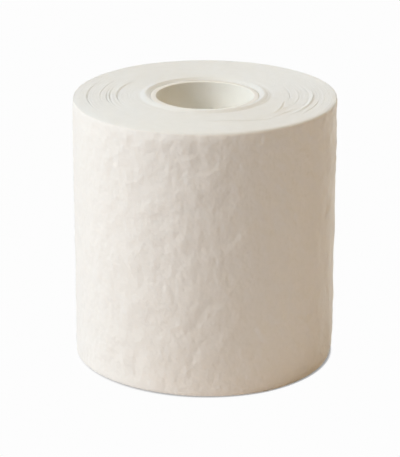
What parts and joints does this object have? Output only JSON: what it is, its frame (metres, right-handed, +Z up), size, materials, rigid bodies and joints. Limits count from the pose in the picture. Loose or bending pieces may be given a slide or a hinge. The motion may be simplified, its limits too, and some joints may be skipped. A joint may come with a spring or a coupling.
{
  "type": "adhesive fixation tape roll",
  "caption": "Roll of off-white nonwoven adhesive dressing tape wound on a white board core, standing on one end face.",
  "frame": {"origin": "centre of the end face that the roll stands on", "axes": "+Z up along the roll's axis; -Y is the front, and the tape's cut end lies at the back, towards +Y"},
  "size_m": [0.0734, 0.0736, 0.0756],
  "materials": {
    "white_board": "smooth white-lined board, matte",
    "nonwoven_tape": "soft matte off-white nonwoven with a fine fibrous surface"
  },
  "bodies": {
    "root": {"core_tube": "white_board", "wound_tape": "nonwoven_tape"}
  },
  "joints": []
}
